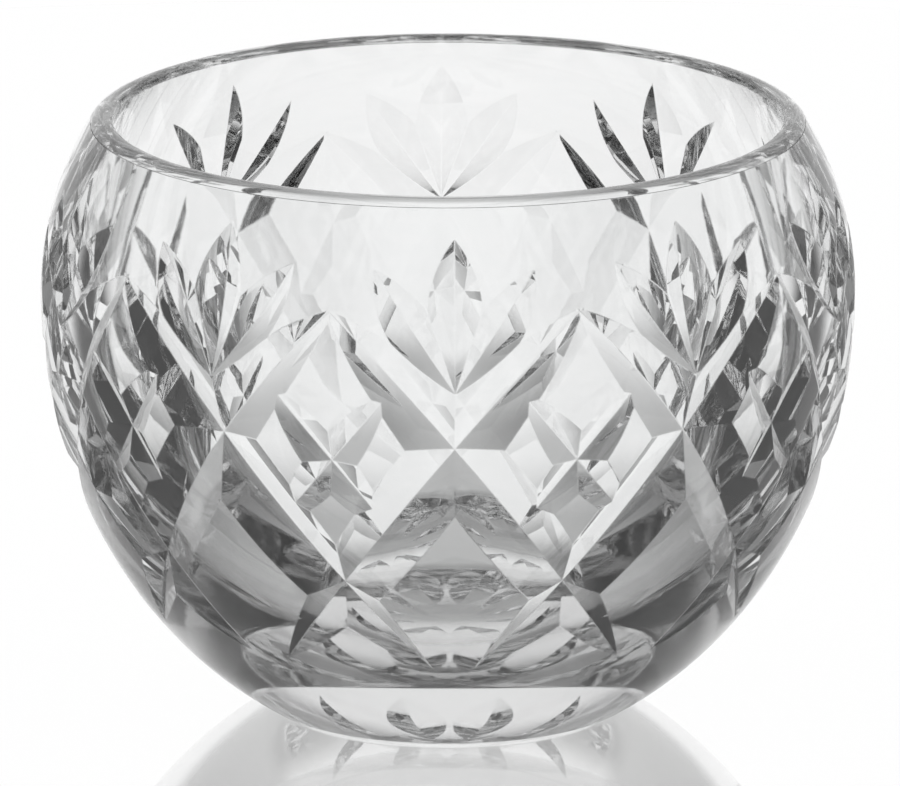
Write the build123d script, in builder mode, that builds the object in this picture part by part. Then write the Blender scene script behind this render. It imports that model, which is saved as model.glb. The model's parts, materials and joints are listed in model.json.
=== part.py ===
"""Cut-crystal rose bowl: a globe of clear glass with a wide plain mouth and a flat star-cut foot.

The bowl is one piece of glass. Round the globe runs a band of wheel cuts, all of them V grooves: long
mitres that cross in a lattice, a small cross in each diamond of the lattice, and a fan of three leaves
above each crossing. The foot carries a star of rays.

Millimetres, +Z up. The origin is the centre of the foot, on the table. Places on the globe are given as
(turn, height): the turn is in degrees about Z from the -Y side towards +X.
"""

import os
from math import asin, atan2, cos, degrees, radians, sin, sqrt

from build123d import *

# Globe
bowl_diameter = 135.0  # outside, at the widest
bowl_height = 100.0
widest_height = 0.70 * bowl_height
rim_diameter = 0.865 * bowl_diameter  # outside
foot_diameter = 0.437 * bowl_diameter
wall_thickness = 5.6  # at the widest
rim_thickness = 3.4
floor_thickness = 6.0
rim_edge_radius = 0.45 * rim_thickness  # nearly a full round
foot_edge_radius = 0.8
outline_steps = 20  # places that the globe's curve is drawn through
cutting_turn = 9.0  # of the bowl while it is cut, so that no cut faces straight along an axis

# Band of cuts, repeated round the globe
repeats = 10
pitch = 360 / repeats

# Long mitres: each runs from a tip under the rim, through two crossings, to a tip above the foot
mitre_top_height = 0.828 * bowl_height
mitre_top_reach = 0.517 * pitch  # past half a pitch, so that neighbours cross near their tips
mitre_crossing_height = 0.608 * bowl_height
mitre_bottom_height = 0.188 * bowl_height
mitre_bottom_reach = 0.89 * pitch
mitre_depth = 3.15
mitre_half_angle = 68.0

# Small cross in the middle of each diamond
cross_height = 0.573 * bowl_height
cross_rise = 0.125 * bowl_height  # from its middle up to a tip
cross_reach = 0.25 * pitch  # from its middle round to a tip
cross_half_angle = 67.0

# Fan of leaves, spreading from a root above each upper crossing
fan_root_height = 0.695 * bowl_height
middle_leaf_height = 0.942 * bowl_height
side_leaf_height = 0.893 * bowl_height
side_leaf_reach = 0.328 * pitch
middle_leaf_depth = 2.4
side_leaf_depth = 2.1
leaf_half_angle = 64.0

# Star under the foot, one ray under each diamond
star_rays = repeats
star_turn = pitch / 2
star_depth = 2.2
star_half_angle = 65.0
star_border = 2.5  # plain ring left round the star
star_hub_radius = 8.0  # plain disc left in its middle

# Room round a cutting wheel, so that it leaves the glass cleanly
wheel_clearance = 2.0

bowl_radius = bowl_diameter / 2
foot_radius = foot_diameter / 2
rim_radius = rim_diameter / 2
mouth_radius = rim_radius - rim_thickness
hollow_radius = bowl_radius - wall_thickness
rim_rise = bowl_height - widest_height
star_radius = foot_radius - star_border


def half_height(widest, end, rise):
    """Half-height of the ellipse that is widest at its middle and has the end radius at that rise."""
    return rise / sqrt(1 - (end / widest) ** 2)


upper_half_height = half_height(bowl_radius, rim_radius, rim_rise)
lower_half_height = half_height(bowl_radius, foot_radius, widest_height)
hollow_upper_half_height = half_height(hollow_radius, mouth_radius, rim_rise)
hollow_lower_half_height = widest_height - floor_thickness


def globe_half_height(height):
    """Half-height of the globe's ellipse at that height: one above the widest place, one below."""
    return upper_half_height if height > widest_height else lower_half_height


def globe_radius(height):
    """Radius of the uncut globe at that height."""
    return bowl_radius * sqrt(1 - ((height - widest_height) / globe_half_height(height)) ** 2)


def on_globe(turn, height):
    """The point of the uncut globe at that turn and height."""
    radius = globe_radius(height)
    return Vector(radius * sin(radians(turn)), -radius * cos(radians(turn)), height)


def facing(point):
    """The way out of the glass at a point of the uncut globe."""
    steepness = (bowl_radius / globe_half_height(point.Z)) ** 2
    return Vector(point.X, point.Y, (point.Z - widest_height) * steepness).normalized()


def square_to(along, direction):
    """The part of a direction that is square to another, at unit length."""
    along = along.normalized()
    return (direction - along * direction.dot(along)).normalized()


def wheel_edge(depth, half_angle, lean):
    """Corners of a wheel's V edge: its point, then the end of each flank, clear of the glass."""
    flank = (depth + wheel_clearance) / cos(radians(half_angle))
    flank_angles = [radians(lean - half_angle), radians(lean + half_angle)]
    return [(0, 0)] + [(flank * cos(angle), flank * sin(angle)) for angle in flank_angles]


def straight_cut(start, end, half_angle):
    """A V cut along the straight line between two places: it takes off the glass that bulges over it."""
    first = on_globe(*start)
    last = on_globe(*end)
    over = on_globe((start[0] + end[0]) / 2, (start[1] + end[1]) / 2)
    along = (last - first).normalized()
    out = square_to(along, facing(over))
    depth = (over - first).dot(out)
    with BuildPart() as cut:
        with BuildSketch(Plane(first - along * wheel_clearance, x_dir=out, z_dir=along)):
            with BuildLine():
                Polyline(wheel_edge(depth, half_angle, 0), close=True)
            make_face()
        extrude(amount=(last - first).length + 2 * wheel_clearance)
    return cut.part


def arc_cut(first, deepest, last, outward, depth, half_angle):
    """A V cut whose bottom line is the arc over three points. The V opens evenly about outward."""
    arc = Edge.make_three_point_arc(first, deepest, last)
    centre = arc.arc_center
    swing = Axis(centre, (first - centre).cross(deepest - centre))
    away = 1 if outward.dot(deepest - centre) > 0 else -1
    out_at_first = (first - centre).normalized() * away
    out_at_deepest = (deepest - centre).normalized() * away
    lean = degrees(atan2(outward.dot(swing.direction), outward.dot(out_at_deepest)))
    extra = degrees(wheel_clearance / arc.radius)
    with BuildPart() as cut:
        with BuildSketch(Plane(first, x_dir=out_at_first, z_dir=out_at_first.cross(swing.direction))):
            with BuildLine():
                Polyline(wheel_edge(depth, half_angle, lean), close=True)
            make_face()
        revolve(axis=swing, revolution_arc=degrees(arc.length / arc.radius) + 2 * extra)
    return cut.part.rotate(swing, -extra)


def leaf_cut(tip, depth):
    """One leaf of the fan, from its tip down to the root, deepest half way."""
    over = on_globe(tip[0] / 2, (tip[1] + fan_root_height) / 2)
    outward = facing(over)
    root = on_globe(0, fan_root_height)
    return arc_cut(on_globe(*tip), over - outward * depth, root, outward, depth, leaf_half_angle)


middle_leaf = leaf_cut((0, middle_leaf_height), middle_leaf_depth)
side_leaf = leaf_cut((side_leaf_reach, side_leaf_height), side_leaf_depth)

cross_arm = straight_cut(
    (-cross_reach, cross_height + cross_rise),
    (cross_reach, cross_height - cross_rise),
    cross_half_angle,
)

# A long mitre that runs through the crossing at turn 0
mitre_top = on_globe(-mitre_top_reach, mitre_top_height)
mitre_crossing = on_globe(0, mitre_crossing_height)
mitre_bottom = on_globe(mitre_bottom_reach, mitre_bottom_height)
mitre_sink = square_to(mitre_bottom - mitre_top, mitre_crossing - mitre_top) * mitre_depth
mitre = arc_cut(
    mitre_top,
    mitre_crossing - mitre_sink,
    mitre_bottom,
    facing(mitre_crossing),
    mitre_depth,
    mitre_half_angle,
)

star_ray = arc_cut(
    Vector(0, -star_hub_radius, 0),
    Vector(0, -(star_hub_radius + star_radius) / 2, star_depth),
    Vector(0, -star_radius, 0),
    Vector(0, 0, -1),
    star_depth,
    star_half_angle,
)

# Cuts of one repeat of the band, each with its turn
band_cuts = [
    (middle_leaf, 0),
    (side_leaf, 0),
    (mirror(side_leaf, about=Plane.YZ), 0),
    (cross_arm, pitch / 2),
    (mirror(cross_arm, about=Plane.YZ), pitch / 2),
    (mitre, 0),
    (mirror(mitre, about=Plane.YZ), 0),
]


def oval(radius, lower, upper, first_angle, last_angle):
    """A curve of two half-ellipses that meet where they are widest, drawn between two angles."""
    span = radians(last_angle - first_angle)
    angles = [radians(first_angle) + span * step / outline_steps for step in range(outline_steps + 1)]
    heights = [upper if angle > 0 else lower for angle in angles]
    points = [(radius * cos(a), widest_height + h * sin(a)) for a, h in zip(angles, heights)]
    ends = [(-radius * sin(angles[i]), heights[i] * cos(angles[i])) for i in (0, -1)]
    return Spline(points, tangents=ends)


foot_angle = degrees(asin(widest_height / lower_half_height))
rim_angle = degrees(asin(rim_rise / upper_half_height))
mouth_angle = degrees(asin(rim_rise / hollow_upper_half_height))

with BuildPart() as cut_globe:
    with BuildSketch(Plane.XZ):
        with BuildLine():
            Line((0, 0), (foot_radius, 0))
            oval(bowl_radius, lower_half_height, upper_half_height, -foot_angle, rim_angle)
            Line((rim_radius, bowl_height), (mouth_radius, bowl_height))
            oval(hollow_radius, hollow_lower_half_height, hollow_upper_half_height, -90, mouth_angle)
            Line((0, floor_thickness), (0, 0))
        make_face()
    revolve(axis=Axis.Z)
    circles = cut_globe.edges().filter_by(GeomType.CIRCLE).group_by(Axis.Z)
    fillet(circles[-1], rim_edge_radius)
    fillet(circles[0], foot_edge_radius)

    # Each cut is made by itself: wheels that overlap in one cut would leave stray glass behind
    for ray in range(star_rays):
        ray_turn = cutting_turn + star_turn + ray * 360 / star_rays
        add(star_ray, rotation=(0, 0, ray_turn), mode=Mode.SUBTRACT)
    for cut, turn in band_cuts:
        for step in range(repeats):
            add(cut, rotation=(0, 0, cutting_turn + turn + step * pitch), mode=Mode.SUBTRACT)

with BuildPart() as bowl:
    add(cut_globe.part, rotation=(0, 0, -cutting_turn))

os.makedirs("parts", exist_ok=True)
bowl.part.label = "bowl"
export_step(bowl.part, "parts/bowl.step")
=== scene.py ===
import json
from math import asin, atan2, cos, pi, radians, sin, sqrt

import bmesh
import bpy
from mathutils import Matrix, Vector

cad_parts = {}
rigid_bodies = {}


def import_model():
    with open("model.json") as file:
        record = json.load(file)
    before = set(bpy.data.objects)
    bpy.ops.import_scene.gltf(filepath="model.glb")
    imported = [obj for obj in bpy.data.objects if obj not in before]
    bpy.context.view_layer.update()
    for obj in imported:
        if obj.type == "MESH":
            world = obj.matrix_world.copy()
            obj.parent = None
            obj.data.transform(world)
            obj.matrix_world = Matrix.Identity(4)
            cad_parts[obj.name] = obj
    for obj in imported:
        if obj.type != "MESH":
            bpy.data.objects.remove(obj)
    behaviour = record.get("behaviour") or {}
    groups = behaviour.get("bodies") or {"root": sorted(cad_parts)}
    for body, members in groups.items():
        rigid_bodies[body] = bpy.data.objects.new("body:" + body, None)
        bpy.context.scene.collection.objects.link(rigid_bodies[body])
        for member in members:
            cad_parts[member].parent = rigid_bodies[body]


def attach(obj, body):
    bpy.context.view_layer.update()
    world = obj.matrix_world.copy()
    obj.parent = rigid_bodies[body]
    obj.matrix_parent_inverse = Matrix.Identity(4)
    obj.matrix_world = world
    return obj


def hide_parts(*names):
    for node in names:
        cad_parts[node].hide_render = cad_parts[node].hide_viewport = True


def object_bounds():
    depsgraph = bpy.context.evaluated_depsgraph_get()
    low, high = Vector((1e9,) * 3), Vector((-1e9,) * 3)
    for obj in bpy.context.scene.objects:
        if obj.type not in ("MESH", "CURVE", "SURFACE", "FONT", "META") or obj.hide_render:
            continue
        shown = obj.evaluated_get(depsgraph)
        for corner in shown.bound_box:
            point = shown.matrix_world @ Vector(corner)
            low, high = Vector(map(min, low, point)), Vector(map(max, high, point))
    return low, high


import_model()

cad_low, cad_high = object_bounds()
MM = 0.001

# The blown bowl, in metres
BOWL_HEIGHT = cad_high.z
BOWL_RADIUS = 67.5 * MM
WIDEST_HEIGHT = 0.70 * BOWL_HEIGHT
RIM_RADIUS = 0.865 * BOWL_RADIUS
FOOT_RADIUS = 0.437 * BOWL_RADIUS
WALL = 5.6 * MM
RIM = 3.4 * MM
FLOOR = 6.0 * MM
RIM_ROUND = 0.45 * RIM
FOOT_ROUND = 0.8 * MM
MOUTH_RADIUS = RIM_RADIUS - RIM
HOLLOW_RADIUS = BOWL_RADIUS - WALL
RIM_RISE = BOWL_HEIGHT - WIDEST_HEIGHT

# The wheel cuts. Places on the globe are (turn, height), the turn in degrees from -Y towards +X.
REPEATS = 10
PITCH = 360 / REPEATS
MITRE_TOP = (-0.517 * PITCH, 0.828 * BOWL_HEIGHT)
MITRE_CROSSING = (0, 0.608 * BOWL_HEIGHT)
MITRE_BOTTOM = (0.89 * PITCH, 0.188 * BOWL_HEIGHT)
MITRE_DEPTH = 3.15 * MM
MITRE_HALF_ANGLE = radians(68)
CROSS_TURN = PITCH / 2
CROSS_TOP = (-0.25 * PITCH, 0.698 * BOWL_HEIGHT)
CROSS_BOTTOM = (0.25 * PITCH, 0.448 * BOWL_HEIGHT)
CROSS_HALF_ANGLE = radians(67)
FAN_ROOT = (0, 0.695 * BOWL_HEIGHT)
MIDDLE_LEAF = (0, 0.942 * BOWL_HEIGHT)
SIDE_LEAF = (0.328 * PITCH, 0.893 * BOWL_HEIGHT)
MIDDLE_LEAF_DEPTH = 2.4 * MM
SIDE_LEAF_DEPTH = 2.1 * MM
LEAF_HALF_ANGLE = radians(64)
STAR_INNER = 8.0 * MM
STAR_BORDER = 2.5 * MM
STAR_OUTER = FOOT_RADIUS - STAR_BORDER
STAR_TURN = PITCH / 2
STAR_DEPTH = 2.2 * MM
STAR_HALF_ANGLE = radians(65)

# Fineness of the mesh
SPIN_STEPS = 360
GLOBE_STEPS = 70
HOLLOW_STEPS = 60
ROUND_STEPS = 6
CUT_STEPS = 40
WHEEL_CLEARANCE = 2.0 * MM
NEAR = 0.01 * MM
SHARP = radians(12)


def camera():
    """The photo's view: a long lens from the front, a little above the rim."""
    distance = 4.0
    frame_width = 149.3 * MM  # what the photo's width covers at the bowl's axis
    aim = Vector((0.33 * MM, 0, 52.4 * MM))
    turn = radians(-1.0)
    rise = radians(14.4)
    data = bpy.data.cameras.new("photo_camera")
    data.lens = data.sensor_width * distance / frame_width
    ob = bpy.data.objects.new("photo_camera", data)
    away = Vector((sin(turn) * cos(rise), -cos(turn) * cos(rise), sin(rise)))
    ob.location = aim + away * distance
    ob.rotation_euler = (-away).to_track_quat("-Z", "Y").to_euler()
    bpy.context.scene.collection.objects.link(ob)
    bpy.context.scene.camera = ob


def half_height(widest, end, rise):
    """Half-height of the ellipse that is widest at its middle and has the end radius at that rise."""
    return rise / sqrt(1 - (end / widest) ** 2)


UPPER = half_height(BOWL_RADIUS, RIM_RADIUS, RIM_RISE)
LOWER = half_height(BOWL_RADIUS, FOOT_RADIUS, WIDEST_HEIGHT)
HOLLOW_UPPER = half_height(HOLLOW_RADIUS, MOUTH_RADIUS, RIM_RISE)
HOLLOW_LOWER = WIDEST_HEIGHT - FLOOR


def on_globe(turn, height):
    """The point of the uncut globe at that turn and height."""
    half = UPPER if height > WIDEST_HEIGHT else LOWER
    radius = BOWL_RADIUS * sqrt(1 - ((height - WIDEST_HEIGHT) / half) ** 2)
    return Vector((radius * sin(radians(turn)), -radius * cos(radians(turn)), height))


def facing(point):
    """The way out of the glass at a point of the uncut globe."""
    half = UPPER if point.z > WIDEST_HEIGHT else LOWER
    return Vector((point.x, point.y, (point.z - WIDEST_HEIGHT) * (BOWL_RADIUS / half) ** 2)).normalized()


def square_to(along, direction):
    """The part of a direction that is square to another, at unit length."""
    along = along.normalized()
    return (direction - along * direction.dot(along)).normalized()


def oval(radius, lower, upper, first, last, steps):
    """Points (radius, height) of two half-ellipses that meet where they are widest, between two angles."""
    angles = [first + (last - first) * step / steps for step in range(steps + 1)]
    return [(radius * cos(a), WIDEST_HEIGHT + (upper if a > 0 else lower) * sin(a)) for a in angles]


def edge_ring(bm, height):
    """The edges that stand out round the bowl at that height."""
    flat = [e for e in bm.edges if all(abs(v.co.z - height) < NEAR for v in e.verts)]
    return [e for e in flat if e.calc_face_angle(0) > SHARP]


def blown_bowl():
    """The plain bowl before cutting: its section spun round, with the rim and the foot's edge rounded."""
    foot_angle = asin(WIDEST_HEIGHT / LOWER)
    rim_angle = asin(RIM_RISE / UPPER)
    mouth_angle = asin(RIM_RISE / HOLLOW_UPPER)
    globe = oval(BOWL_RADIUS, LOWER, UPPER, -foot_angle, rim_angle, GLOBE_STEPS)
    hollow = oval(HOLLOW_RADIUS, HOLLOW_LOWER, HOLLOW_UPPER, mouth_angle, -pi / 2, HOLLOW_STEPS)
    bm = bmesh.new()
    verts = [bm.verts.new((0, -radius, height)) for radius, height in [(0, 0)] + globe + hollow]
    edges = [bm.edges.new(pair) for pair in zip(verts, verts[1:])]
    bmesh.ops.spin(
        bm,
        geom=verts + edges,
        axis=(0, 0, 1),
        cent=(0, 0, 0),
        angle=2 * pi,
        steps=SPIN_STEPS,
        use_merge=True,
    )
    bmesh.ops.remove_doubles(bm, verts=bm.verts, dist=NEAR)
    bmesh.ops.recalc_face_normals(bm, faces=bm.faces)
    for height, offset in ((BOWL_HEIGHT, RIM_ROUND), (0, FOOT_ROUND)):
        ring = edge_ring(bm, height)
        bmesh.ops.bevel(
            bm, geom=ring, offset=offset, segments=ROUND_STEPS, profile=0.5, affect="EDGES", material=-1
        )
    return bm


def wheel_edge(bm, point, out, side, depth, half_angle, lean=0):
    """A wheel's V edge as a triangle: its point in the glass, its flanks opening along out."""
    flank = (depth + WHEEL_CLEARANCE) / cos(half_angle)
    ends = [point + (out * cos(a) + side * sin(a)) * flank for a in (lean - half_angle, lean + half_angle)]
    return bm.faces.new([bm.verts.new(p) for p in [point] + ends])


def straight_cut(start, end, half_angle):
    """A V cut along the straight line between two places: it takes off the glass that bulges over it."""
    first = on_globe(*start)
    last = on_globe(*end)
    over = on_globe((start[0] + end[0]) / 2, (start[1] + end[1]) / 2)
    along = (last - first).normalized()
    out = square_to(along, facing(over))
    depth = (over - first).dot(out)
    run = last - first + along * 2 * WHEEL_CLEARANCE
    bm = bmesh.new()
    edge = wheel_edge(bm, first - along * WHEEL_CLEARANCE, out, along.cross(out), depth, half_angle)
    grown = bmesh.ops.extrude_face_region(bm, geom=[edge])["geom"]
    bmesh.ops.translate(bm, verts=[g for g in grown if isinstance(g, bmesh.types.BMVert)], vec=run)
    bmesh.ops.recalc_face_normals(bm, faces=bm.faces)
    return bm


def arc_centre(a, b, c):
    """The centre of the circle through three points."""
    ab = b - a
    ac = c - a
    square = ab.cross(ac)
    reach = square.cross(ab) * ac.length_squared + ac.cross(square) * ab.length_squared
    return a + reach / (2 * square.length_squared)


def arc_cut(first, deepest, last, outward, depth, half_angle):
    """A V cut whose bottom line is the arc over three points. The V opens evenly about outward."""
    centre = arc_centre(first, deepest, last)
    swing = (first - centre).cross(deepest - centre).normalized()
    away = 1 if outward.dot(deepest - centre) > 0 else -1
    out_at_first = (first - centre).normalized() * away
    out_at_deepest = (deepest - centre).normalized() * away
    lean = atan2(outward.dot(swing), outward.dot(out_at_deepest))
    extra = WHEEL_CLEARANCE / (first - centre).length
    sweep = (first - centre).angle(deepest - centre) + (deepest - centre).angle(last - centre) + 2 * extra
    bm = bmesh.new()
    edge = wheel_edge(bm, first, out_at_first, swing, depth, half_angle, lean)
    bmesh.ops.rotate(bm, verts=bm.verts, cent=centre, matrix=Matrix.Rotation(-extra, 3, swing))
    bmesh.ops.spin(bm, geom=[edge], cent=centre, axis=swing, angle=sweep, steps=CUT_STEPS)
    bmesh.ops.recalc_face_normals(bm, faces=bm.faces)
    return bm


def long_mitre():
    """One long cut of the lattice, from its tip under the rim down past two crossings."""
    top = on_globe(*MITRE_TOP)
    crossing = on_globe(*MITRE_CROSSING)
    bottom = on_globe(*MITRE_BOTTOM)
    deepest = crossing - square_to(bottom - top, crossing - top) * MITRE_DEPTH
    return arc_cut(top, deepest, bottom, facing(crossing), MITRE_DEPTH, MITRE_HALF_ANGLE)


def leaf(tip, depth):
    """One leaf of the fan, from its tip down to the root, deepest half way."""
    over = on_globe((tip[0] + FAN_ROOT[0]) / 2, (tip[1] + FAN_ROOT[1]) / 2)
    outward = facing(over)
    deepest = over - outward * depth
    return arc_cut(on_globe(*tip), deepest, on_globe(*FAN_ROOT), outward, depth, LEAF_HALF_ANGLE)


def star_ray():
    """One ray of the star under the foot."""
    inner = Vector((0, -STAR_INNER, 0))
    outer = Vector((0, -STAR_OUTER, 0))
    down = Vector((0, 0, -1))
    return arc_cut(inner, (inner + outer) / 2 - down * STAR_DEPTH, outer, down, STAR_DEPTH, STAR_HALF_ANGLE)


def wheel_cuts():
    """Every cut as a closed wedge: (wedge, turn of the first, mirrored too)."""
    return [
        (long_mitre(), 0, True),
        (straight_cut(CROSS_TOP, CROSS_BOTTOM, CROSS_HALF_ANGLE), CROSS_TURN, True),
        (leaf(SIDE_LEAF, SIDE_LEAF_DEPTH), 0, True),
        (leaf(MIDDLE_LEAF, MIDDLE_LEAF_DEPTH), 0, False),
        (star_ray(), STAR_TURN, False),
    ]


def as_object(bm, name, collection):
    """The mesh as a new object in a collection."""
    mesh = bpy.data.meshes.new(name)
    bm.to_mesh(mesh)
    bm.free()
    ob = bpy.data.objects.new(name, mesh)
    collection.objects.link(ob)
    return ob


def cut_bowl():
    """The blown bowl with every wheel cut taken out of it."""
    scene = bpy.context.scene
    wheels = bpy.data.collections.new("wheels")
    scene.collection.children.link(wheels)
    for wedge, turn, mirrored in wheel_cuts():
        for flip in (1, -1) if mirrored else (1,):
            for step in range(REPEATS):
                cut = wedge.copy()
                bmesh.ops.scale(cut, verts=cut.verts, vec=(flip, 1, 1))
                spin = Matrix.Rotation(radians(turn + step * PITCH), 3, "Z")
                bmesh.ops.rotate(cut, verts=cut.verts, cent=(0, 0, 0), matrix=spin)
                bmesh.ops.recalc_face_normals(cut, faces=cut.faces)
                as_object(cut, "wheel_cut", wheels)
        wedge.free()
    blank = as_object(blown_bowl(), "blank", scene.collection)
    grind = blank.modifiers.new("grind", "BOOLEAN")
    grind.operation = "DIFFERENCE"
    grind.solver = "MANIFOLD"
    grind.operand_type = "COLLECTION"
    grind.collection = wheels
    mesh = bpy.data.meshes.new_from_object(blank.evaluated_get(bpy.context.evaluated_depsgraph_get()))
    mesh.name = "cut_crystal_bowl"
    mesh.materials.clear()
    for ob in list(wheels.objects) + [blank]:
        bpy.data.objects.remove(ob)
    bpy.data.collections.remove(wheels)
    mesh.shade_smooth()
    mesh.set_sharp_from_angle(angle=SHARP)
    ob = bpy.data.objects.new("cut_crystal_bowl", mesh)
    scene.collection.objects.link(ob)
    return ob


def linear(hex_colour):
    """An sRGB hex colour as linear RGBA."""
    values = [int(hex_colour[i : i + 2], 16) / 255 for i in (1, 3, 5)]
    return [v / 12.92 if v <= 0.04045 else ((v + 0.055) / 1.055) ** 2.4 for v in values] + [1]


def node(tree, kind, settings=None, **inputs):
    """Adds a node with its settings. An input is a value or another node's output socket."""
    made = tree.nodes.new(kind)
    for key, value in (settings or {}).items():
        setattr(made, key, value)
    for key, value in inputs.items():
        socket = made.inputs[int(key[1:])] if key[1:].isdigit() else made.inputs[key.replace("_", " ")]
        if isinstance(value, bpy.types.NodeSocket):
            tree.links.new(value, socket)
        else:
            socket.default_value = value
    return made


def smooth_step(tree, value, start, end, low, high):
    """A value that goes smoothly from low to high while another goes from start to end."""
    return node(
        tree,
        "ShaderNodeMapRange",
        {"interpolation_type": "SMOOTHSTEP"},
        Value=value,
        From_Min=start,
        From_Max=end,
        To_Min=low,
        To_Max=high,
    ).outputs[0]


def lead_crystal():
    """Lead crystal, blown, wheel-cut and polished: clear and bright, with hard black and white refractions.

    Cords of unlike glass run round the bowl as faint streaks, the polished faces ripple a little, and the
    polish has rounded the edges of the cuts. Thick glass is a little grey.
    """
    cord_width = 1.5 * MM
    cord_length = 6.0 * MM
    ripple_width = 4.0 * MM
    ripple_height = 0.004 * MM
    edge_round = 0.35 * MM
    glass_ior = 1.545
    greying = 38.0  # per metre of glass
    material = bpy.data.materials.new("lead_crystal")
    material.use_nodes = True
    tree = material.node_tree
    shader = tree.nodes["Principled BSDF"]
    shader.inputs["Transmission Weight"].default_value = 1
    shader.inputs["IOR"].default_value = glass_ior
    shader.inputs["Roughness"].default_value = 0.0
    place = node(tree, "ShaderNodeTexCoord").outputs["Object"]
    stretched = node(
        tree, "ShaderNodeMapping", Vector=place, Scale=(1 / cord_length, 1 / cord_length, 1 / cord_width)
    )
    cords = node(tree, "ShaderNodeTexNoise", Vector=stretched.outputs[0], Scale=1.0, Detail=2.0)
    tint = node(
        tree,
        "ShaderNodeMix",
        {"data_type": "RGBA"},
        _0=cords.outputs[0],
        _6=linear("#fafbfb"),
        _7=linear("#ffffff"),
    )
    tree.links.new(tint.outputs[2], shader.inputs["Base Color"])
    rounded = node(tree, "ShaderNodeBevel", {"samples": 4}, Radius=edge_round)
    ripples = node(tree, "ShaderNodeTexNoise", Vector=place, Scale=1 / ripple_width, Detail=1.0)
    polish = node(
        tree,
        "ShaderNodeBump",
        Height=ripples.outputs[0],
        Distance=ripple_height,
        Strength=1.0,
        Normal=rounded.outputs[0],
    )
    tree.links.new(polish.outputs[0], shader.inputs["Normal"])
    clear = node(tree, "ShaderNodeBsdfTransparent", Color=linear("#fbfbfb"))
    path = node(tree, "ShaderNodeLightPath")
    both = node(
        tree,
        "ShaderNodeMixShader",
        _0=path.outputs["Is Shadow Ray"],
        _1=shader.outputs[0],
        _2=clear.outputs[0],
    )
    depth = node(tree, "ShaderNodeVolumeAbsorption", Color=linear("#e8e8e8"), Density=greying)
    tree.links.new(both.outputs[0], tree.nodes["Material Output"].inputs["Surface"])
    tree.links.new(depth.outputs[0], tree.nodes["Material Output"].inputs["Volume"])
    return material


def white_acrylic():
    """Polished white acrylic sheet: pure white, with a clear mirror image of the bowl and its soft shadow.

    Through the glass it shows only painted shade and painted light, set as a glow: grey about the foot,
    light under the foot's front, darker to the sides, and white far off and behind.
    """
    lit_share = 0.7  # the rest takes the shadow
    coat_ior = 1.9
    shine = 2.2  # a mirror coat as well as the sheet's own gloss
    # Painted shade and painted light for the light in the glass: glow levels on the sheet, set by place
    foot_edge = (30 * MM, 34 * MM)
    painted_foot_light = (0.95, 0.3)  # at the foot's front and from its middle back
    foot_front = -14 * MM
    painted_side_shade = (0.5, 0.2)  # before the bowl and to its sides
    side_reach = (20 * MM, 70 * MM)
    shade_end = (110 * MM, 190 * MM)
    painted_far_light = 0.9
    back_reach = (50 * MM, 120 * MM)
    painted_back_light = 1.0
    material = bpy.data.materials.new("white_acrylic")
    material.use_nodes = True
    tree = material.node_tree
    tree.nodes.remove(tree.nodes["Principled BSDF"])
    path = node(tree, "ShaderNodeLightPath")
    matt = node(tree, "ShaderNodeBsdfDiffuse", Color=linear("#fcfcfc"))
    lit = node(tree, "ShaderNodeEmission", Color=linear("#ffffff"), Strength=1.0)
    seen = node(
        tree, "ShaderNodeMath", {"operation": "MULTIPLY"}, _0=path.outputs["Is Camera Ray"], _1=lit_share
    )
    sheet = node(tree, "ShaderNodeMixShader", _0=seen.outputs[0], _1=matt.outputs[0], _2=lit.outputs[0])
    fresnel = node(tree, "ShaderNodeFresnel", IOR=coat_ior)
    gloss = node(
        tree, "ShaderNodeMath", {"operation": "MULTIPLY", "use_clamp": True}, _0=fresnel.outputs[0], _1=shine
    )
    mirror = node(tree, "ShaderNodeBsdfGlossy", Color=linear("#ffffff"), Roughness=0.0)
    polished = node(
        tree, "ShaderNodeMixShader", _0=gloss.outputs[0], _1=sheet.outputs[0], _2=mirror.outputs[0]
    )
    # The painted shade and light seen through the glass: a glow whose strength is set by place on the sheet,
    # not by any lamp
    place = node(tree, "ShaderNodeTexCoord").outputs["Object"]
    away = node(tree, "ShaderNodeVectorMath", {"operation": "LENGTH"}, _0=place).outputs["Value"]
    parts = node(tree, "ShaderNodeSeparateXYZ", Vector=place)
    across = node(tree, "ShaderNodeMath", {"operation": "ABSOLUTE"}, _0=parts.outputs["X"]).outputs[0]
    near = smooth_step(tree, across, *side_reach, *painted_side_shade)
    faded = smooth_step(tree, away, *shade_end, near, painted_far_light)
    beyond = smooth_step(tree, parts.outputs["Y"], *back_reach, faded, painted_back_light)
    painted_under_foot = smooth_step(tree, parts.outputs["Y"], foot_front, 0, *painted_foot_light)
    is_under = smooth_step(tree, away, *foot_edge, 1, 0)
    painted_level = node(tree, "ShaderNodeMix", {"data_type": "FLOAT"}, _0=is_under, _2=beyond, _3=painted_under_foot)
    painted_shade = node(tree, "ShaderNodeEmission", Color=linear("#ffffff"), Strength=painted_level.outputs[0])
    both = node(
        tree,
        "ShaderNodeMixShader",
        _0=path.outputs["Is Transmission Ray"],
        _1=polished.outputs[0],
        _2=painted_shade.outputs[0],
    )
    tree.links.new(both.outputs[0], tree.nodes["Material Output"].inputs["Surface"])
    return material


def white_floor():
    """The round sheet that the bowl stands on."""
    radius = 500 * MM
    sides = 96
    gap = 0.05 * MM  # between the sheet and the foot
    bm = bmesh.new()
    bmesh.ops.create_circle(bm, cap_ends=True, segments=sides, radius=radius)
    bmesh.ops.translate(bm, verts=bm.verts, vec=(0, 0, -gap))
    floor = as_object(bm, "studio_floor", bpy.context.scene.collection)
    floor.data.materials.append(white_acrylic())


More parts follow.
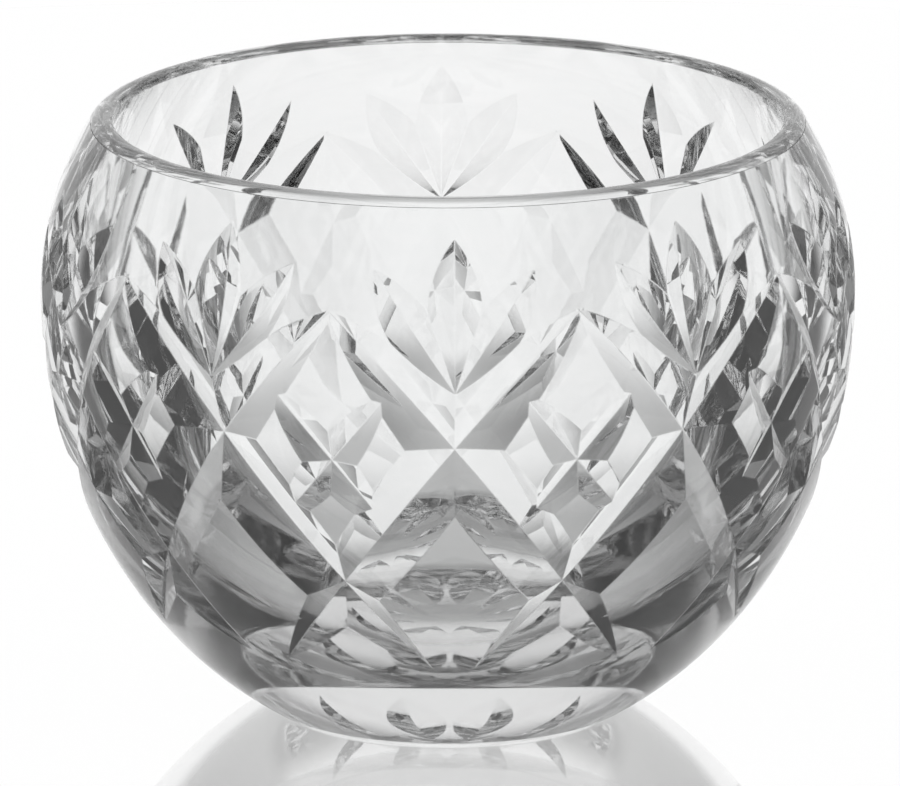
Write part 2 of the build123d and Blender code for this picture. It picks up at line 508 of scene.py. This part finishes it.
def black_cards():
    """Curved black cards beside the bowl, which only the light in the glass sees: they darken its sides."""
    radius = 98 * MM
    height = 58 * MM
    span = radians(68)
    steps = 24
    light = 0.035
    material = bpy.data.materials.new("black_card")
    material.use_nodes = True
    tree = material.node_tree
    dull = node(tree, "ShaderNodeEmission", Color=linear("#ffffff"), Strength=light)
    tree.links.new(dull.outputs[0], tree.nodes["Material Output"].inputs["Surface"])
    for side in (1, -1):
        bm = bmesh.new()
        foot = Vector((side * radius, 0, 0))
        edge = bm.edges.new([bm.verts.new(foot), bm.verts.new(foot + Vector((0, 0, height)))])
        bmesh.ops.rotate(bm, verts=bm.verts, cent=(0, 0, 0), matrix=Matrix.Rotation(-span / 2, 3, "Z"))
        bmesh.ops.spin(bm, geom=[edge], cent=(0, 0, 0), axis=(0, 0, 1), angle=span, steps=steps)
        card = as_object(bm, "black_card", bpy.context.scene.collection)
        card.data.materials.append(material)
        card.visible_camera = False
        card.visible_diffuse = False
        card.visible_glossy = False
        card.visible_shadow = False


def studio():
    """White all round. The light in the glass sees a room that is white on four sides and dark between."""
    front_light = 0.95  # of the walls before and behind
    dark_light = 0.05
    side_light = 0.9
    front_end = (0.3, 0.65)  # where the light walls end, as the sideways part of the direction
    side_start = (0.86, 0.97)
    world = bpy.data.worlds.new("studio")
    bpy.context.scene.world = world
    world.use_nodes = True
    tree = world.node_tree
    background = tree.nodes["Background"]
    background.inputs["Color"].default_value = linear("#ffffff")
    direction = node(tree, "ShaderNodeTexCoord").outputs["Generated"]
    parts = node(tree, "ShaderNodeSeparateXYZ", Vector=direction)
    across = node(tree, "ShaderNodeMath", {"operation": "ABSOLUTE"}, _0=parts.outputs["X"]).outputs[0]
    dark = smooth_step(tree, across, *front_end, front_light, dark_light)
    walls = smooth_step(tree, across, *side_start, dark, side_light)
    path = node(tree, "ShaderNodeLightPath")
    sharp = node(
        tree,
        "ShaderNodeMath",
        {"operation": "MAXIMUM"},
        _0=path.outputs["Is Glossy Ray"],
        _1=path.outputs["Is Transmission Ray"],
    )
    in_glass = node(
        tree,
        "ShaderNodeMath",
        {"operation": "MULTIPLY", "use_clamp": True},
        _0=sharp.outputs[0],
        _1=path.outputs["Transmission Depth"],
    )
    seen = node(tree, "ShaderNodeMix", {"data_type": "FLOAT"}, _0=in_glass.outputs[0], _2=1.0, _3=walls)
    tree.links.new(seen.outputs[0], background.inputs["Strength"])


def light_paths():
    """Enough bounces for light that is thrown about inside the glass."""
    bounces = 32
    cycles = bpy.context.scene.cycles
    cycles.max_bounces = bounces
    cycles.glossy_bounces = bounces
    cycles.transmission_bounces = bounces
    cycles.transparent_max_bounces = bounces


camera()
studio()
white_floor()
black_cards()
light_paths()
bowl = cut_bowl()
bowl.data.materials.append(lead_crystal())
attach(bowl, "root")
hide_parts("bowl")

bpy.context.scene.view_settings.view_transform = "Standard"
